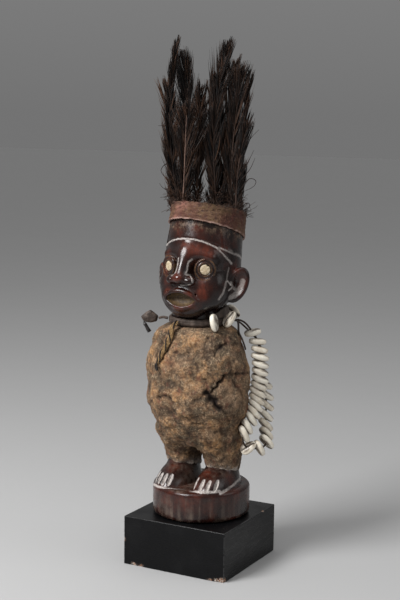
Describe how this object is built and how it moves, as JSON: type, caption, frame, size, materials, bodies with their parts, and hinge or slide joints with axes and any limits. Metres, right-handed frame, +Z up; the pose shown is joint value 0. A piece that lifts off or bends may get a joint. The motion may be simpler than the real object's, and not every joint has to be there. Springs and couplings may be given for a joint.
{
  "type": "power figure",
  "caption": "Standing nkisi power figure: carved wooden figure in a baked earth crust, with a feathered hide crown, cowry strand and round foot disc, on a square plinth.",
  "frame": {"origin": "centre of the plinth's underside", "axes": "+Z up, the figure faces -Y, and its left side is +X"},
  "size_m": [0.1295, 0.1161, 0.525],
  "materials": {
    "plinth_lacquer": "satin black lacquer",
    "patinated_wood": "oiled and worn dark red-brown patina",
    "earth_crust": "matte cracked earth and resin",
    "hide": "crusted rough hide",
    "feather": "soft dark feather",
    "shell": "glossy worn shell",
    "eye_inlay": "worn cream inlay",
    "leather": "dry dark leather",
    "fibre": "dry straw fibre",
    "cord": "dark waxed cord"
  },
  "bodies": {
    "root": {"plinth": "plinth_lacquer", "carved_figure": "patinated_wood", "earth_crust": "earth_crust", "eye_inlay_left": "eye_inlay", "eye_inlay_right": "eye_inlay", "crown_band": "hide", "feather_left_tall": "feather", "feather_left_broad": "feather", "feather_left_brown": "feather", "feather_left_front": "feather", "feather_middle_left": "feather", "feather_middle_right": "feather", "feather_right_tall": "feather", "feather_right_brown": "feather", "feather_right_upper": "feather", "feather_right_outer": "feather", "feather_right_low": "feather", "neck_collar": "leather", "neck_flap": "leather", "shoulder_strap": "leather", "leather_packet": "leather", "packet_tube": "leather", "packet_thong": "leather", "fibre_twist": "fibre", "strand_cord": "cord", "cowry_side_1": "shell", "cowry_side_2": "shell", "cowry_side_3": "shell", "cowry_side_4": "shell", "cowry_side_5": "shell", "cowry_side_6": "shell", "cowry_side_7": "shell", "cowry_side_8": "shell", "cowry_side_9": "shell", "cowry_side_10": "shell", "cowry_side_11": "shell", "cowry_side_12": "shell", "cowry_side_13": "shell", "cowry_side_14": "shell", "cowry_side_15": "shell", "cowry_bottom_1": "shell", "cowry_bottom_2": "shell", "cowry_back_1": "shell", "cowry_back_2": "shell", "cowry_back_3": "shell", "cowry_back_4": "shell", "cowry_back_5": "shell", "cowry_back_6": "shell", "cowry_back_7": "shell", "cowry_neck_front": "shell", "cowry_neck_side": "shell", "cowry_neck_back": "shell"}
  },
  "joints": []
}
